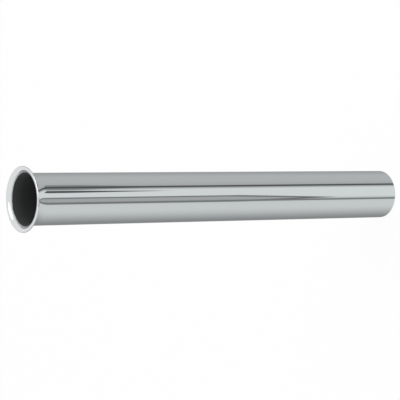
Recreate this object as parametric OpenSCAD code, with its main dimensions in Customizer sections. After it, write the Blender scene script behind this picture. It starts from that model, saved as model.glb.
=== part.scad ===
// Straight waste pipe for a sanitary fitting: one length of chromed brass tube,
// cut square at the bottom and spun out into a trumpet lip at the top.
// The pipe stands on its cut end, its axis is Z, and the origin is the centre
// of that end. Lengths are in millimetres and angles in degrees.

/* [Tube] */
// Outside diameter of the straight tube
tube_od = 32; // [20:0.5:60]
// Thickness of the wall, the same all along the pipe
wall = 1; // [0.6:0.1:2]
// Length over all, from the cut end to the face of the lip
length = 282; // [80:1:600]

/* [Flare] */
// How far the easy first bend of the flare turns the wall outwards
easy_turn = 20; // [10:1:30]
// Radius of the easy bend, on the mouth side
easy_r = 20; // [12:0.5:30]

/* [Lip] */
// How far the rim stands out past the outside of the tube
lip_w = 4.1; // [3.4:0.1:10]
// Width of the flat ring that a washer seals on
land_w = 0.5; // [0.3:0.1:1]
// Rounding of the two edges at the rim
rim_r = 0.4; // [0.1:0.05:0.45]

/* [Cut end] */
// Rounding that the cutter leaves on the outside edge
cut_outer_r = 0.6; // [0.1:0.05:0.7]
// Rounding of the deburred inside edge
cut_inner_r = 0.2; // [0.05:0.05:0.25]

/* [Smoothness] */
// How far a short straight step may lie inside the arc that it stands for
arc_error = 0.004; // [0.001:0.001:0.05]

/* [Hidden] */
$fn = 180;

tube_r = tube_od / 2;
bore_r = tube_r - wall;
lip_r = tube_r + lip_w;

// No rounding takes more than its share of the wall
rim_round = min(rim_r, 0.45 * wall);
cut_outer_round = min(cut_outer_r, 0.7 * wall);
cut_inner_round = min(cut_inner_r, 0.25 * wall);

// The tight bend takes the wall from the easy bend to the flat of the lip, so
// its radius on the mouth side is what the easy bend and the land leave for it.
easy_rise = easy_r * (1 - cos(easy_turn));
tight_r = (lip_r - rim_round - land_w - bore_r - easy_rise) / cos(easy_turn);

// Centres of the two bends, as [radius, height]. Both lie outside the wall, and
// the wall passes from one bend to the other on the line through both centres.
tight_centre = [lip_r - rim_round - land_w, length - tight_r];
easy_centre = [
    bore_r + easy_r,
    tight_centre.y - (easy_r - tight_r) * sin(easy_turn)
];

// Points along an arc from one angle to another. A start of 1 leaves out the
// first point, where the arc carries on from the one before it.
function arc(centre, r, from, to, start = 0) =
    let(steps = ceil(abs(to - from) / (2 * acos(1 - arc_error / r))))
    [for (i = [start:steps])
        let(angle = from + (to - from) * i / steps)
        centre + r * [cos(angle), sin(angle)]];

function reversed(points) = [for (i = [len(points) - 1:-1:0]) points[i]];

// One side of the flared wall from the tube up to the lip, at a depth into the
// wall that is counted from the mouth side
function flare(depth) = concat(
    arc(easy_centre, easy_r - depth, 180, 180 - easy_turn),
    arc(tight_centre, tight_r - depth, 180 - easy_turn, 90, start = 1)
);

// Rounded edges of the cut end and of the rim, anticlockwise round the section
cut_edges = concat(
    arc([bore_r + cut_inner_round, cut_inner_round], cut_inner_round, 180, 270),
    arc([tube_r - cut_outer_round, cut_outer_round], cut_outer_round, 270, 360)
);
rim_edges = concat(
    arc([lip_r - rim_round, length - wall + rim_round], rim_round, 270, 360),
    arc([lip_r - rim_round, length - rim_round], rim_round, 0, 90)
);

// Half of a lengthwise cut through the pipe
module wall_section() {
    polygon(concat(cut_edges, flare(wall), rim_edges, reversed(flare(0))));
}

module drain_tube() {
    color("silver") rotate_extrude() wall_section();
}

drain_tube();
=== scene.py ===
# %% [markdown]
# # A chromed waste pipe with a flared lip
# The object is one length of brass tube, 32 mm across, cut square at one end
# and spun out at the other into a trumpet lip that a washer seals on. It is
# chrome plated outside and over the lip, and bare inside. The CAD model, which
# comes in as a fixed frame, gives the place and the size of everything here.

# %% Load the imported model
import math

import bpy
import numpy as np
from mathutils import Matrix, Vector


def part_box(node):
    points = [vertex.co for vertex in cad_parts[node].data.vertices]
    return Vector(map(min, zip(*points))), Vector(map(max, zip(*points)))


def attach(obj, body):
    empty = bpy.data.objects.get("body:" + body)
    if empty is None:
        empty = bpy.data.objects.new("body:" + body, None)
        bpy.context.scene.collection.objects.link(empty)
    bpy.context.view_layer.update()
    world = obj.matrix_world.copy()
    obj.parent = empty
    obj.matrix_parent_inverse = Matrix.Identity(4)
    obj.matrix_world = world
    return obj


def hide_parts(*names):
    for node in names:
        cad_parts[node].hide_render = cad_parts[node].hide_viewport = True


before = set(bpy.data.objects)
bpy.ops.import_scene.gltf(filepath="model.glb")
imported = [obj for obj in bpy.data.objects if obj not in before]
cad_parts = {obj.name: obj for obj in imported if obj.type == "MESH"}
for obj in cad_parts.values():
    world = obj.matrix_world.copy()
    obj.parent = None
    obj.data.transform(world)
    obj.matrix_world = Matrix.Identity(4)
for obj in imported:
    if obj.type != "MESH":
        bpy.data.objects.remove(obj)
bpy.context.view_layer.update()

MM = 0.001
tube_low, tube_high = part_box("drain_tube")
pipe_length = tube_high.z - tube_low.z
lip_radius = (tube_high.x - tube_low.x) / 2
print(f"pipe {pipe_length / MM:.1f} mm long, lip {2 * lip_radius / MM:.1f} mm across")

# %% [markdown]
# ## The camera
# In the picture the pipe lies level with its mouth to the left and a little
# towards us. Here it stands upright, as it does under a basin, so the camera
# looks down at it and is turned on its side. Its lens, distance and tilt come
# from fitting the outline of the tube and the lip. A camera's axes are the
# columns of its matrix: right, up and back. The mouth is then put at its place
# in the picture by sliding the camera along its own right and up.

# %% Set up the camera
PICTURE = 400                          # pixels, both ways
FOCAL_PIXELS = 1783.2
LOOKS_DOWN = math.radians(34.73)
LEAN = math.radians(0.932)             # how far the pipe's axis is off level
MOUTH_DISTANCE = 1.0715
MOUTH_AT = (21.74, 199.45)             # the mouth's centre in the picture

sin_d, cos_d = math.sin(LOOKS_DOWN), math.cos(LOOKS_DOWN)
sin_l, cos_l = math.sin(LEAN), math.cos(LEAN)
cam_right = Vector((-sin_l, -sin_d * cos_l, -cos_d * cos_l))
cam_up = Vector((cos_l, -sin_d * sin_l, -cos_d * sin_l))
cam_back = Vector((0, -cos_d, sin_d))

camera_data = bpy.data.cameras.new("camera")
camera_data.sensor_width = 36
camera_data.lens = FOCAL_PIXELS / PICTURE * camera_data.sensor_width
camera = bpy.data.objects.new("camera", camera_data)
bpy.context.scene.collection.objects.link(camera)
bpy.context.scene.camera = camera

aside = (MOUTH_AT[0] - PICTURE / 2) / FOCAL_PIXELS * MOUTH_DISTANCE
above = (PICTURE / 2 - MOUTH_AT[1]) / FOCAL_PIXELS * MOUTH_DISTANCE
mouth = Vector((0, 0, pipe_length))
place = mouth - cam_right * aside - cam_up * above + cam_back * MOUTH_DISTANCE
axes = Matrix((cam_right, cam_up, cam_back)).transposed().to_4x4()
camera.matrix_world = Matrix.Translation(place) @ axes
print(f"camera at {tuple(round(v, 3) for v in place)}, lens {camera_data.lens:.1f} mm")

# %% [markdown]
# ## The flared tube
# The wall has the same section all the way round, so the shape follows one
# rule: a section, swept round a circle. Such a pipe could be made with the
# Screw modifier or by spinning a mesh. Geometry Nodes keep each size of the
# flare as a named input instead, and can work out the tight bend from the
# others, as a press tool's drawing does.
#
# The section is drawn the way a toolmaker draws it, as straight lines that
# meet at sharp corners. Each corner then gets its own radius. The outside of
# the wall is the mouth side moved over by the wall's thickness, so its corners
# lie further out and its radii are smaller by the wall.

# %% Sizes of the tube, as on its drawing
sizes = {
    "Tube Radius": 16.0 * MM,
    "Wall": 1.0 * MM,
    "Length": pipe_length,
    "Lip Radius": lip_radius,
    "Easy Turn": math.radians(20),
    "Easy Radius": 20.0 * MM,
    "Land": 0.5 * MM,
    "Rim Rounding": 0.4 * MM,
    "Outer Cut Rounding": 0.6 * MM,
    "Inner Cut Rounding": 0.2 * MM,
}
AROUND = 288                           # points round the tube
print(f"{len(sizes)} sizes for the tube")

# %% [markdown]
# A few helpers keep the node tree readable: one places a node and joins its
# inputs, and one does arithmetic, so that a formula reads almost as it would
# on paper.

# %% Helpers for building node trees
def plug(tree, socket, value):
    """Joins an output to the socket, or types a plain value into it."""
    if isinstance(value, bpy.types.NodeSocket):
        tree.links.new(value, socket)
    elif value is not None:
        socket.default_value = value


def place_node(tree, kind, inputs=None, **settings):
    """Adds a node, sets its options, then its inputs by name or number."""
    node = tree.nodes.new(kind)
    for name, value in settings.items():
        setattr(node, name, value)
    for name, value in (inputs or {}).items():
        plug(tree, node.inputs[name], value)
    return node


def calc(tree, operation, a, b=None, c=None):
    """One Math node's result."""
    given = {i: v for i, v in enumerate((a, b, c)) if v is not None}
    return place_node(tree, "ShaderNodeMath", given, operation=operation).outputs[0]


def point(tree, radius, height):
    """A corner of the section, as a vector of radius and height."""
    given = {"X": radius, "Y": height}
    return place_node(tree, "ShaderNodeCombineXYZ", given).outputs[0]


print("helpers ready")

# %% Start the tree and name its inputs
flare = bpy.data.node_groups.new("flared tube", "GeometryNodeTree")
for name in sizes:
    socket = flare.interface.new_socket(
        name, in_out="INPUT", socket_type="NodeSocketFloat")
    socket.subtype = "ANGLE" if "Turn" in name else "DISTANCE"
flare.interface.new_socket("Around", in_out="INPUT", socket_type="NodeSocketInt")
flare.interface.new_socket(
    "Material", in_out="INPUT", socket_type="NodeSocketMaterial")
flare.interface.new_socket(
    "Geometry", in_out="OUTPUT", socket_type="NodeSocketGeometry")
asked = flare.nodes.new("NodeGroupInput").outputs
print(f"tree {flare.name!r} takes {len(asked) - 1} inputs")

# %% [markdown]
# The easy bend turns the wall by 20 degrees, and the tight bend does the rest.
# The tight bend's radius is whatever the easy bend and the flat land leave for
# it. Two corners follow: one where the tube's line meets the slanting line, and
# one where the slanting line meets the flat of the lip.

# %% Work out the corners of the flare
def m(operation, a, b=None):
    return calc(flare, operation, a, b)


turn, wall = asked["Easy Turn"], asked["Wall"]
bore_r = m("SUBTRACT", asked["Tube Radius"], wall)
land_end = m("SUBTRACT", m("SUBTRACT", asked["Lip Radius"],
                           asked["Rim Rounding"]), asked["Land"])
easy_rise = m("MULTIPLY", asked["Easy Radius"],
              m("SUBTRACT", 1.0, m("COSINE", turn)))
tight_r = m("DIVIDE", m("SUBTRACT", m("SUBTRACT", land_end, bore_r), easy_rise),
            m("COSINE", turn))

half_easy = m("DIVIDE", turn, 2.0)
half_tight = m("DIVIDE", m("SUBTRACT", math.pi / 2, turn), 2.0)
lip_corner_r = m("SUBTRACT", land_end,
                 m("MULTIPLY", tight_r, m("TANGENT", half_tight)))
neck_corner_z = m("SUBTRACT", asked["Length"],
                  m("DIVIDE", m("SUBTRACT", lip_corner_r, bore_r),
                    m("TANGENT", turn)))

# the same two corners on the outside of the wall
back_neck_z = m("SUBTRACT", neck_corner_z,
                m("MULTIPLY", wall, m("TANGENT", half_easy)))
back_lip_r = m("ADD", lip_corner_r, m("MULTIPLY", wall, m("TANGENT", half_tight)))
back_lip_z = m("SUBTRACT", asked["Length"], wall)

# where the easy bend starts, less a hair: a support for smooth shading
bend_start = m("SUBTRACT", neck_corner_z,
               m("MULTIPLY", asked["Easy Radius"], m("TANGENT", half_easy)))
support_z = m("SUBTRACT", bend_start, 0.3 * MM)
print("corners worked out in", len(flare.nodes), "nodes")

# %% [markdown]
# Long faces next to tiny ones would bend the shading of the whole tube, and a
# mirror finish shows that at once. So each long straight line also gets a point
# close to where its rounding starts. These support points have no radius.
#
# Each corner is one row below: its place, its rounding, the number of steps
# round it, and whether it is on the mouth side of the wall.

# %% List the corners round the section
HAIR = 0.15 * MM
tube_r, length = asked["Tube Radius"], asked["Length"]
cut_out, cut_in = asked["Outer Cut Rounding"], asked["Inner Cut Rounding"]
rim = asked["Rim Rounding"]
corners = [
    (point(flare, tube_r, 0.0), cut_out, 8, 0.0),
    (point(flare, tube_r, m("ADD", cut_out, HAIR)), 0.0, 0, 0.0),
    (point(flare, tube_r, support_z), 0.0, 0, 0.0),
    (point(flare, tube_r, back_neck_z),
     m("SUBTRACT", asked["Easy Radius"], wall), 16, 0.0),
    (point(flare, back_lip_r, back_lip_z), m("SUBTRACT", tight_r, wall), 18, 0.0),
    (point(flare, asked["Lip Radius"], back_lip_z), rim, 8, 0.0),
    (point(flare, asked["Lip Radius"], length), rim, 8, 0.0),
    (point(flare, lip_corner_r, length), tight_r, 20, 1.0),
    (point(flare, bore_r, neck_corner_z), asked["Easy Radius"], 16, 1.0),
    (point(flare, bore_r, support_z), 0.0, 0, 1.0),
    (point(flare, bore_r, m("ADD", cut_in, HAIR)), 0.0, 0, 1.0),
    (point(flare, bore_r, 0.0), cut_in, 6, 1.0),
]
print(len(corners), "corners round the section")

# %% Draw the section and round its corners
def by_corner(kind, column):
    """A field that gives each corner its own value from the list."""
    switch = place_node(flare, "GeometryNodeIndexSwitch", data_type=kind)
    while len(switch.index_switch_items) < len(corners):
        switch.index_switch_items.new()
    index = place_node(flare, "GeometryNodeInputIndex").outputs[0]
    plug(flare, switch.inputs["Index"], index)
    for i, row in enumerate(corners):
        plug(flare, switch.inputs[str(i)], row[column])
    return switch.outputs[0]


line = place_node(flare, "GeometryNodeCurvePrimitiveLine")
row_of_points = place_node(flare, "GeometryNodeResampleCurve",
                           {"Curve": line.outputs[0], "Count": len(corners)})
sharp = place_node(flare, "GeometryNodeSetPosition",
                   {"Geometry": row_of_points.outputs[0],
                    "Position": by_corner("VECTOR", 0)})
sided = place_node(flare, "GeometryNodeStoreNamedAttribute",
                   {"Geometry": sharp.outputs[0], "Name": "mouth_side",
                    "Value": by_corner("FLOAT", 3)},
                   data_type="FLOAT", domain="POINT")
closed = place_node(flare, "GeometryNodeSetSplineCyclic",
                    {"Geometry": sided.outputs[0], "Cyclic": True})
section = place_node(flare, "GeometryNodeFilletCurve",
                     {"Curve": closed.outputs[0], "Radius": by_corner("FLOAT", 1),
                      "Count": by_corner("INT", 2), "Limit Radius": False},
                     mode="POLY")
print("section drawn")

# %% [markdown]
# The section is swept round a circle as wide as the tube, so its radii are
# first counted from that circle instead of from the axis. A sweep round a flat
# circle points the section's own up downwards, so the pipe is turned over after.

# %% Sweep the section round the pipe's axis
outwards = place_node(flare, "ShaderNodeCombineXYZ",
                      {"X": m("MULTIPLY", tube_r, -1.0)}).outputs[0]
from_circle = place_node(flare, "GeometryNodeSetPosition",
                         {"Geometry": section.outputs[0], "Offset": outwards})
circle = place_node(flare, "GeometryNodeCurvePrimitiveCircle",
                    {"Resolution": asked["Around"], "Radius": tube_r}, mode="RADIUS")
swept = place_node(flare, "GeometryNodeCurveToMesh",
                   {"Curve": circle.outputs[0], "Profile Curve": from_circle.outputs[0]})
upright = place_node(flare, "GeometryNodeTransform",
                     {"Geometry": swept.outputs[0], "Rotation": (math.pi, 0, 0)})
smooth = place_node(flare, "GeometryNodeSetShadeSmooth",
                    {"Geometry": upright.outputs[0], "Shade Smooth": True})
real = place_node(flare, "GeometryNodeRealizeInstances",
                  {"Geometry": smooth.outputs[0]})
finished = place_node(flare, "GeometryNodeSetMaterial",
                      {"Geometry": real.outputs[0], "Material": asked["Material"]})
place_node(flare, "NodeGroupOutput", {"Geometry": finished.outputs[0]})
print("tree has", len(flare.nodes), "nodes")

# %% [markdown]
# ## Chrome
# Chrome plate is a thin bright metal over polished brass, slightly blue. It has
# almost no colour of its own, and what the eye reads as chrome is what it
# mirrors. Three faint things keep it from looking like a computer's mirror:
# the tube isn't perfectly straight or round, so lines in it waver, the polishing
# belt leaves fine rings round it, and handling leaves a thin uneven film.
#
# The wavering and the rings are heights for a Bump node, and the film is a
# roughness. Each is a small group, so that it can be used with its own values.

# %% A group: slow wavering of the surface
def start_group(name, inputs, output):
    """An empty shader group with number inputs and one number output."""
    group = bpy.data.node_groups.new(name, "ShaderNodeTree")
    for label, default in inputs.items():
        socket = group.interface.new_socket(
            label, in_out="INPUT", socket_type="NodeSocketFloat")
        socket.default_value = default
    group.interface.new_socket(
        output, in_out="OUTPUT", socket_type="NodeSocketFloat")
    return group, group.nodes.new("NodeGroupInput").outputs


def stretched_noise(group, stretch, scale, detail, seed):
    """Noise on the object's own coordinates, stretched along each axis."""
    where = place_node(group, "ShaderNodeTexCoord").outputs["Object"]
    moved = place_node(group, "ShaderNodeMapping",
                       {"Vector": where, "Scale": stretch, "Location": seed})
    return place_node(group, "ShaderNodeTexNoise",
                      {"Vector": moved.outputs[0], "Scale": scale,
                       "Detail": detail}).outputs[0]


waver, waver_in = start_group("tube waver", {"Per Metre": 30.0}, "Height")
broad = stretched_noise(waver, (1, 1, 0.35), waver_in["Per Metre"], 1.0, (0, 0, 0))
place_node(waver, "NodeGroupOutput", {0: broad})
print("group", waver.name)

# %% A group: fine rings from the polishing belt
rings, rings_in = start_group("polish rings", {"Per Metre": 900.0}, "Height")
fine = stretched_noise(rings, (0.06, 0.06, 1), rings_in["Per Metre"], 2.0, (3, 1, 2))
place_node(rings, "NodeGroupOutput", {0: fine})
print("group", rings.name)

# %% A group: an uneven film that dulls the gloss here and there
film, film_in = start_group(
    "handling film", {"Per Metre": 45.0, "Clean": 0.03, "Filmed": 0.08}, "Roughness")
patches = stretched_noise(film, (1, 1, 0.5), film_in["Per Metre"], 4.0, (7, 5, 1))
spread = place_node(film, "ShaderNodeMapRange",
                    {"Value": patches, "From Min": 0.35, "From Max": 0.75,
                     "To Min": film_in["Clean"], "To Max": film_in["Filmed"]},
                    interpolation_type="SMOOTHSTEP").outputs[0]
place_node(film, "NodeGroupOutput", {0: spread})
print("group", film.name)

# %% [markdown]
# The plate creeps round the lip and a little way into the mouth, and ends
# there in a slightly ragged edge. The polishing wheel doesn't reach so far in,
# so the last millimetre of plate is satin. Past it the bore is bare, dull metal,
# and its colour is painted nearly black as the shade deep inside the pipe. The
# tube carries a "mouth side" value from its section, and together with the
# distance from the axis that tells bore from plate on every side of the wall.

# %% A group: where the bare bore is
bare, bare_in = start_group(
    "bare bore", {"Edge Radius": 16.15 * MM, "Raggedness": 0.25 * MM}, "Mask")
bare.interface.new_socket("Satin", in_out="OUTPUT", socket_type="NodeSocketFloat")
where = place_node(bare, "ShaderNodeTexCoord").outputs["Object"]
apart = place_node(bare, "ShaderNodeSeparateXYZ", {"Vector": where}).outputs
across = calc(bare, "SQRT", calc(bare, "ADD", calc(bare, "MULTIPLY", apart["X"], apart["X"]),
                                 calc(bare, "MULTIPLY", apart["Y"], apart["Y"])))
ragged = stretched_noise(bare, (1, 1, 1), 260.0, 2.0, (2, 9, 4))
shifted = calc(bare, "MULTIPLY_ADD", calc(bare, "SUBTRACT", ragged, 0.5),
               bare_in["Raggedness"], across)
past_edge = calc(bare, "SUBTRACT", shifted, bare_in["Edge Radius"])


def fades(start, end):
    """1 up to the start, falling smoothly to 0 at the end, from the plate's edge."""
    return place_node(bare, "ShaderNodeMapRange",
                      {"Value": past_edge, "From Min": start, "From Max": end,
                       "To Min": 1.0, "To Max": 0.0},
                      interpolation_type="SMOOTHSTEP").outputs[0]


side = place_node(bare, "ShaderNodeAttribute", attribute_name="mouth_side")
inside = calc(bare, "GREATER_THAN", side.outputs["Fac"], 0.5)
place_node(bare, "NodeGroupOutput",
           {0: calc(bare, "MULTIPLY", fades(-0.08 * MM, 0.08 * MM), inside),
            1: calc(bare, "MULTIPLY", fades(0.3 * MM, 1.1 * MM), inside)})
print("group", bare.name)

# %% The material of the tube
CHROME = (0.69, 0.715, 0.715, 1)
# the bare bore's colour is painted shade: nearly black, for the shade inside the pipe
BORE_PAINTED_SHADE = (0.062, 0.064, 0.065, 1)

chrome = bpy.data.materials.new("tube_chrome")
chrome.use_nodes = True
paint = chrome.node_tree
paint.nodes.clear()


def use(group, **values):
    """Places a group in the chrome material with its own values."""
    node = place_node(paint, "ShaderNodeGroup", node_tree=group)
    for name, value in values.items():
        node.inputs[name.replace("_", " ")].default_value = value
    return node.outputs


is_bare, is_satin = use(bare)
wavy = place_node(paint, "ShaderNodeBump",
                  {"Height": use(waver)[0], "Strength": 1.0, "Distance": 0.03 * MM})
ringed = place_node(paint, "ShaderNodeBump",
                    {"Height": use(rings)[0], "Strength": 1.0, "Distance": 0.001 * MM,
                     "Normal": wavy.outputs[0]})
# chrome on the plate; where the bore is bare, the painted shade colour
colour = place_node(paint, "ShaderNodeMix",
                    {"Factor": is_bare, 6: CHROME, 7: BORE_PAINTED_SHADE}, data_type="RGBA")
plate_gloss = place_node(paint, "ShaderNodeMix",
                         {"Factor": is_satin, 2: use(film)[0], 3: 0.42},
                         data_type="FLOAT").outputs[0]
gloss = place_node(paint, "ShaderNodeMix",
                   {"Factor": is_bare, 2: plate_gloss, 3: 0.9}, data_type="FLOAT")
metal = calc(paint, "SUBTRACT", 1.0, is_bare)
skin = place_node(paint, "ShaderNodeBsdfPrincipled",
                  {"Base Color": colour.outputs[2], "Metallic": metal,
                   "Roughness": gloss.outputs[0], "Normal": ringed.outputs[0],
                   "Specular IOR Level": 0.2})
place_node(paint, "ShaderNodeOutputMaterial", {"Surface": skin.outputs[0]})
print("material", chrome.name, "has", len(paint.nodes), "nodes")

# %% [markdown]
# The tree is put on an empty mesh, and its inputs are set before Blender first
# works it out. A modifier knows its inputs by an identifier such as Socket_3
# and not by name, so the names are looked up first. The result is then turned
# into a plain mesh, and the modifier is gone.

# %% Make the tube
maker = bpy.data.objects.new("tube_maker", bpy.data.meshes.new("tube_maker"))
modifier = maker.modifiers.new("flare", "NODES")
modifier.node_group = flare
for item in flare.interface.items_tree:
    if item.in_out != "INPUT":
        continue
    if item.name in sizes:
        modifier[item.identifier] = sizes[item.name]
    elif item.name == "Around":
        modifier[item.identifier] = AROUND
    elif item.name == "Material":
        modifier[item.identifier] = chrome
bpy.context.scene.collection.objects.link(maker)
bpy.context.view_layer.update()

worked_out = maker.evaluated_get(bpy.context.evaluated_depsgraph_get())
tube_mesh = bpy.data.meshes.new_from_object(worked_out)
bpy.data.objects.remove(maker)
tube = bpy.data.objects.new("flared_tube", tube_mesh)
bpy.context.scene.collection.objects.link(tube)
print(len(tube_mesh.vertices), "points,", len(tube_mesh.polygons), "faces")

# %% Check the tube's mesh: open edges, volume and box
import bmesh

shape = bmesh.new()
shape.from_mesh(tube_mesh)
bmesh.ops.remove_doubles(shape, verts=shape.verts, dist=0.001 * MM)
bmesh.ops.recalc_face_normals(shape, faces=shape.faces)
open_edges = sum(1 for edge in shape.edges if len(edge.link_faces) != 2)
volume = shape.calc_volume(signed=True)
if volume < 0:
    bmesh.ops.reverse_faces(shape, faces=shape.faces)
shape.to_mesh(tube_mesh)
shape.free()
print(f"open edges {open_edges}, volume {abs(volume) * 1e9:.0f} cubic mm")
low = [min(v.co[k] for v in tube_mesh.vertices) / MM for k in range(3)]
high = [max(v.co[k] for v in tube_mesh.vertices) / MM for k in range(3)]
print("box", [round(v, 3) for v in low], [round(v, 3) for v in high])

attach(tube, "root")
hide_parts("drain_tube")

# %% [markdown]
# ## What the chrome mirrors
# A photographer lights chrome by choosing what it reflects. A pipe's side
# mirrors a whole turn of the room squeezed into its width, and seen from above
# it mirrors the table round its foot. So a table sheet with long cards on it,
# each running away from the foot, gives the long stripes along the tube. The
# sheet goes up as a low wall further out, for views from lower down.
#
# In a studio a card is pushed about until its reflection sits right. Here that
# is worked backwards. For each point of the sheet, the next cell finds where
# the camera sees it in the pipe: at which height, and in which direction the
# mirrored ray leaves. Direction 0 is towards the camera. The bounce has to make
# equal angles on both sides of the surface. It lies between the point of the
# pipe nearest to the card and halfway round from there to the camera, and that
# stretch is halved until the angles agree.

# %% Find where the camera sees a point of the table in the pipe
CAMERA_X, CAMERA_Y, CAMERA_Z = camera.matrix_world.translation
MIRROR_RADIUS = sizes["Tube Radius"]


def heading(dx, dy):
    """A flat direction as an angle from -Y, turning towards -X."""
    return np.arctan2(-dx, -dy)


def seen_in_pipe(x, y):
    """The height on the pipe, and the mirrored ray's direction in degrees."""
    card = heading(x, y)
    near, far = card, card / 2         # the bounce lies between these two
    for _ in range(30):
        bounce = (near + far) / 2
        on_x = -MIRROR_RADIUS * np.sin(bounce)
        on_y = -MIRROR_RADIUS * np.cos(bounce)
        turned = heading(x - on_x, y - on_y) - card
        to_card = card + (turned + np.pi) % (2 * np.pi) - np.pi
        to_camera = heading(CAMERA_X - on_x, CAMERA_Y - on_y)
        too_near = (to_card + to_camera - 2 * bounce) * np.sign(card) < 0
        near = np.where(too_near, bounce, near)
        far = np.where(too_near, far, bounce)
    run_out = np.hypot(x - on_x, y - on_y)
    run_back = np.hypot(CAMERA_X - on_x, CAMERA_Y - on_y)
    height = CAMERA_Z * run_out / (run_out + run_back)
    return height, np.clip(np.degrees(to_card), -180, 180)


test_height, test_direction = seen_in_pipe(np.array([-0.1]), np.array([-0.2]))
print(f"a card at (-0.1, -0.2) shows {test_height[0] / MM:.0f} mm up the pipe, "
      f"in direction {test_direction[0]:.0f}")

# %% [markdown]
# Each card is a strip that runs away from the foot, with one brightness, where 1
# is white. A table says how soft its edges are, which way it lies, and how wide
# it is, in degrees. Some strips are pointed: their tip shows at one height on
# the pipe, and from a second height on they have their whole width. The wide
# soft ones come first and are the windows, and the narrow ones laid over them
# make the stripes. It all shows in mirrors only, and lights nothing.

# %% The cards on the sheet
BACKGROUND = 0.4
LIGHT_TINT = (0.98, 1.0, 1.01)         # daylight, a little cool
ALL_ALONG = (-1, 0)                    # from below the foot
CARDS = [
    # name, brightness, softness, direction, half width, heights of tip and full width
    ("side window", 0.6, 60, -90, 40, ALL_ALONG),
    ("front window", 0.8, 80, 45, 45, ALL_ALONG),
    ("dark wall", 0.3, 40, 150, 20, ALL_ALONG),
    ("white strip", 0.9, 10, -15, 25, ALL_ALONG),
    ("grey flag", 0.3, 5, -50, 12, (190, 250)),
    ("black line", 0.1, 4, -50, 4, ALL_ALONG),
    ("second black line", 0.1, 4, -30, 5, (180, 260)),
    ("black card", 0.2, 4, 10, 15, (50, 130)),
    ("grey card on it", 0.5, 4, 10, 10, (80, 140)),
    ("thin black line", 0.25, 4, 20, 4, ALL_ALONG),
]


def soft_band(off_centre, half_width, softness):
    """1 inside the half width, falling smoothly to 0 over the softness."""
    t = np.clip((half_width + softness / 2 - np.abs(off_centre)) / softness, 0, 1)
    return t * t * (3 - 2 * t) * np.clip(half_width, 0, 1)


def sheet_light(height, direction):
    """The colour and brightness that a mirror sees, as red, green and blue."""
    tone = np.full_like(height, BACKGROUND)
    for _, brightness, softness, lies_at, half_width, tip_and_full in CARDS:
        half = half_width * np.interp(height / MM, tip_and_full, (0, 1))
        off_centre = (direction - lies_at + 180) % 360 - 180
        share = soft_band(off_centre, half, softness)
        tone = tone * (1 - share) + brightness * share
    return np.stack([tone * channel for channel in LIGHT_TINT] + [np.ones_like(tone)], 1)


print(len(CARDS), "cards on the sheet")

# %% Make the sheet, flat near the foot and standing further out
SHEET_LIFT = 0.2 * MM
WALL_AT = 1.2                          # metres from the foot


def light_sheet():
    turns = np.radians(np.arange(-180, 180, 0.5))
    out = np.concatenate([MIRROR_RADIUS + 0.7 * np.linspace(0.02, 1, 150) ** 2,
                          np.linspace(0.75, WALL_AT, 8)])
    steps = [(d, SHEET_LIFT) for d in out] + [(WALL_AT, h) for h in (0.1, 0.3, 0.6)]
    points, lights = [], []
    for reach, height in steps:
        x, y = -reach * np.sin(turns), -reach * np.cos(turns)
        points.append(np.stack([x, y, np.full_like(x, height)], 1))
        lights.append(sheet_light(*seen_in_pipe(x, y)))
    n, count = len(turns), len(steps)
    faces = [(r * n + i, r * n + (i + 1) % n, (r + 1) * n + (i + 1) % n,
              (r + 1) * n + i) for r in range(count - 1) for i in range(n)]
    mesh = bpy.data.meshes.new("light_sheet")
    mesh.from_pydata(np.concatenate(points).tolist(), [], faces)
    light = mesh.attributes.new("light", "FLOAT_COLOR", "POINT")
    light.data.foreach_set("color", np.concatenate(lights).astype(np.float32).ravel())
    return mesh


sheet_mesh = light_sheet()
sheet_look = bpy.data.materials.new("light_sheet")
sheet_look.use_nodes = True
sheet_look.node_tree.nodes.clear()
light = place_node(sheet_look.node_tree, "ShaderNodeAttribute", attribute_name="light")
lit = place_node(sheet_look.node_tree, "ShaderNodeEmission",
                 {"Color": light.outputs["Color"], "Strength": 1.0})
place_node(sheet_look.node_tree, "ShaderNodeOutputMaterial", {"Surface": lit.outputs[0]})
sheet_mesh.materials.append(sheet_look)
sheet_card = bpy.data.objects.new("light_sheet", sheet_mesh)
bpy.context.scene.collection.objects.link(sheet_card)
for ray in ("camera", "diffuse", "transmission", "volume_scatter", "shadow"):
    setattr(sheet_card, "visible_" + ray, False)
print("light sheet has", len(sheet_mesh.polygons), "faces")

# %% [markdown]
# ## Floor, room and lamps
# The floor and the room are plain white. Camera, mirror and glass rays see the
# white itself, and all other rays see an ordinary lit surface, so the floor
# keeps the pipe's soft shadow.

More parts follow.
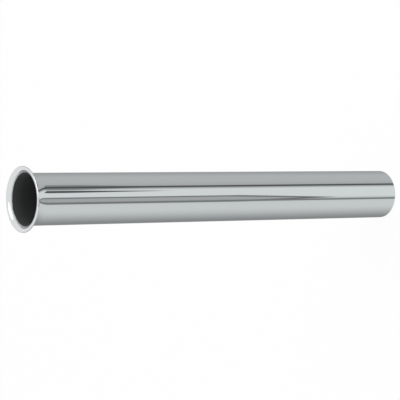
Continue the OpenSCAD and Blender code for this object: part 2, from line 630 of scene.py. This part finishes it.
# %% The floor
def seen_directly(tree):
    """1 for camera, mirror and glass rays."""
    ray = place_node(tree, "ShaderNodeLightPath").outputs
    seen = calc(tree, "MAXIMUM", ray["Is Camera Ray"], ray["Is Glossy Ray"])
    return calc(tree, "MAXIMUM", seen, ray["Is Transmission Ray"])


white = bpy.data.materials.new("white_floor")
white.use_nodes = True
ground = white.node_tree
ground.nodes.clear()
lit = place_node(ground, "ShaderNodeBsdfDiffuse", {"Color": (0.8, 0.8, 0.8, 1)})
plain = place_node(ground, "ShaderNodeEmission", {"Strength": 1.03})
share = calc(ground, "MULTIPLY", seen_directly(ground), 0.9)
mixed = place_node(ground, "ShaderNodeMixShader",
                   {0: share, 1: lit.outputs[0], 2: plain.outputs[0]})
place_node(ground, "ShaderNodeOutputMaterial", {"Surface": mixed.outputs[0]})

floor_mesh = bpy.data.meshes.new("floor")
reach = 6.0
floor_mesh.from_pydata([(-reach, -reach, 0), (reach, -reach, 0), (reach, reach, 0),
                        (-reach, reach, 0)], [], [(0, 1, 2, 3)])
floor_mesh.materials.append(white)
floor = bpy.data.objects.new("floor", floor_mesh)
bpy.context.scene.collection.objects.link(floor)
print("floor is", 2 * reach, "m across")

# %% The room
world = bpy.data.worlds.new("white_room")
bpy.context.scene.world = world
world.use_nodes = True
room = world.node_tree
room.nodes.clear()
strength = calc(room, "MULTIPLY_ADD", seen_directly(room), 0.3, 0.7)
air = place_node(room, "ShaderNodeBackground",
                 {"Color": (1, 1, 1, 1), "Strength": strength})
place_node(room, "ShaderNodeOutputWorld", {"Surface": air.outputs[0]})
print("room ready")

# %% The lamps
def soft_lamp(name, place, aim, size, power):
    data = bpy.data.lights.new(name, "AREA")
    data.shape, data.size, data.energy = "DISK", size, power
    lamp = bpy.data.objects.new(name, data)
    lamp.matrix_world = Matrix.Translation(place) @ (
        Vector(aim) - Vector(place)).to_track_quat("-Z", "Y").to_matrix().to_4x4()
    bpy.context.scene.collection.objects.link(lamp)
    return lamp


soft_lamp("key", (0.65, 0, 1.7), (0, 0, 0.25), 1.1, 6)
bpy.context.scene.view_settings.view_transform = "Standard"
print("lamps ready")
